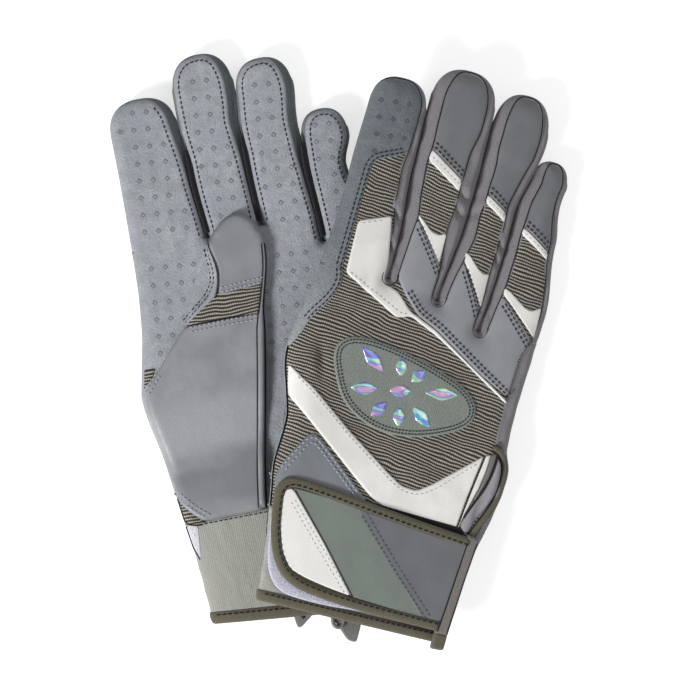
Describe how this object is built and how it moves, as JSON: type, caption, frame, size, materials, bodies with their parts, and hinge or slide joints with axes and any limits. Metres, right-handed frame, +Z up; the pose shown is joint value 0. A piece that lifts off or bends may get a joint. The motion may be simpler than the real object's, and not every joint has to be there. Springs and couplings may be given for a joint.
{
  "type": "batting gloves",
  "caption": "Pair of batting gloves lying empty: one palm up with its thumb folded over the palm, the other back up on top of it; fingers bend and cuff straps peel open.",
  "frame": {"origin": "on the surface the pair lies on, under the middle of the pair", "axes": "+Z up, +Y towards the fingertips, +X towards the right-hand glove"},
  "size_m": [0.1974, 0.2532, 0.0378],
  "materials": {
    "suede": "napped grey suede with small printed grip dots",
    "synthetic": "smooth dark grey synthetic leather",
    "knit": "ribbed brown-grey knit",
    "white_synthetic": "smooth white synthetic leather",
    "panel": "smooth grey synthetic leather with a soft sheen",
    "backing": "stitched grey-green woven backing",
    "stretch": "purple-grey stretch fabric",
    "elastic": "grey elastic webbing",
    "strap": "panelled synthetic leather with olive binding",
    "loop": "pale lavender loop pile",
    "hook": "pale hook tape",
    "binding": "olive woven binding"
  },
  "bodies": {
    "left_hand": {"left_palm": "suede", "left_back_knit": "knit", "left_knuckle_band": "synthetic", "left_index_trim": "white_synthetic", "left_v_trim": "white_synthetic", "left_side_panel": "panel", "left_emblem_patch": "backing", "left_gusset_index_middle": "stretch", "left_gusset_middle_ring": "stretch", "left_gusset_ring_little": "stretch", "left_gusset_outer": "stretch", "left_cuff": "elastic", "left_loop_patch": "loop", "left_pull_tab": "binding"},
    "right_hand": {"right_palm": "suede", "right_back_knit": "knit", "right_knuckle_band": "synthetic", "right_index_trim": "white_synthetic", "right_v_trim": "white_synthetic", "right_side_panel": "panel", "right_emblem_patch": "backing", "right_gusset_index_middle": "stretch", "right_gusset_middle_ring": "stretch", "right_gusset_ring_little": "stretch", "right_gusset_outer": "stretch", "right_thumb_panel": "panel", "right_thumb_stall": "suede", "right_cuff": "elastic", "right_loop_patch": "loop", "right_pull_tab": "binding"},
    "right_index_tip": {"right_index_cap": "suede", "right_index_gusset": "stretch", "right_index_pad": "suede"},
    "right_middle_tip": {"right_middle_cap": "synthetic", "right_middle_gusset": "stretch", "right_middle_pad": "suede"},
    "right_ring_tip": {"right_ring_cap": "synthetic", "right_ring_gusset": "stretch", "right_ring_pad": "suede"},
    "right_little_tip": {"right_little_cap": "synthetic", "right_little_gusset": "stretch", "right_little_pad": "suede"},
    "right_strap": {"right_strap": "strap", "right_hook_patch": "hook"},
    "left_index_tip": {"left_index_cap": "suede", "left_index_gusset": "stretch", "left_index_pad": "suede"},
    "left_middle_tip": {"left_middle_cap": "synthetic", "left_middle_gusset": "stretch", "left_middle_pad": "suede"},
    "left_ring_tip": {"left_ring_cap": "synthetic", "left_ring_gusset": "stretch", "left_ring_pad": "suede"},
    "left_little_tip": {"left_little_cap": "synthetic", "left_little_gusset": "stretch", "left_little_pad": "suede"},
    "left_strap": {"left_strap": "strap", "left_hook_patch": "hook"},
    "left_thumb": {"left_thumb_panel": "panel", "left_thumb_stall": "suede"}
  },
  "joints": [
    {"name": "right_glove_lift", "type": "slide", "parent": "left_hand", "child": "right_hand", "axis": [0, 0, 1], "range_m": [0, 0.15]},
    {"name": "right_index_flex", "type": "hinge", "parent": "right_hand", "child": "right_index_tip", "pos_m": [0.01708, 0.0805, 0.018], "axis": [-0.9477, 0.2363, 0.2147], "range_deg": [0, 80]},
    {"name": "right_middle_flex", "type": "hinge", "parent": "right_hand", "child": "right_middle_tip", "pos_m": [0.04385, 0.07486, 0.01195], "axis": [-0.9477, 0.2363, 0.2147], "range_deg": [0, 80]},
    {"name": "right_ring_flex", "type": "hinge", "parent": "right_hand", "child": "right_ring_tip", "pos_m": [0.06702, 0.05877, 0.0066], "axis": [-0.9477, 0.2363, 0.2147], "range_deg": [0, 80]},
    {"name": "right_little_flex", "type": "hinge", "parent": "right_hand", "child": "right_little_tip", "pos_m": [0.08131, 0.04595, 0.00327], "axis": [-0.9477, 0.2363, 0.2147], "range_deg": [0, 80]},
    {"name": "right_strap_peel", "type": "hinge", "parent": "right_hand", "child": "right_strap", "pos_m": [0.04966, -0.10168, 0.0208], "axis": [0.3154, 0.947, -0.0614], "range_deg": [0, 150]},
    {"name": "left_index_flex", "type": "hinge", "parent": "left_hand", "child": "left_index_tip", "pos_m": [-0.07851, 0.0735, 0.0116], "axis": [0.9816, 0.1908, 0], "range_deg": [0, 80]},
    {"name": "left_middle_flex", "type": "hinge", "parent": "left_hand", "child": "left_middle_tip", "pos_m": [-0.05216, 0.08167, 0.0116], "axis": [0.9816, 0.1908, 0], "range_deg": [0, 80]},
    {"name": "left_ring_flex", "type": "hinge", "parent": "left_hand", "child": "left_ring_tip", "pos_m": [-0.0255, 0.0787, 0.0116], "axis": [0.9816, 0.1908, 0], "range_deg": [0, 80]},
    {"name": "left_little_flex", "type": "hinge", "parent": "left_hand", "child": "left_little_tip", "pos_m": [-0.00373, 0.07783, 0.0116], "axis": [0.9816, 0.1908, 0], "range_deg": [0, 80]},
    {"name": "left_strap_peel", "type": "hinge", "parent": "left_hand", "child": "left_strap", "pos_m": [0.02272, -0.07345, 0], "axis": [0.1175, -0.9931, 0], "range_deg": [0, 150]},
    {"name": "left_thumb_unfold", "type": "hinge", "parent": "left_hand", "child": "left_thumb", "pos_m": [-0.0777, -0.04657, 0.01175], "axis": [0.3251, -0.9457, 0], "range_deg": [0, 160]}
  ]
}
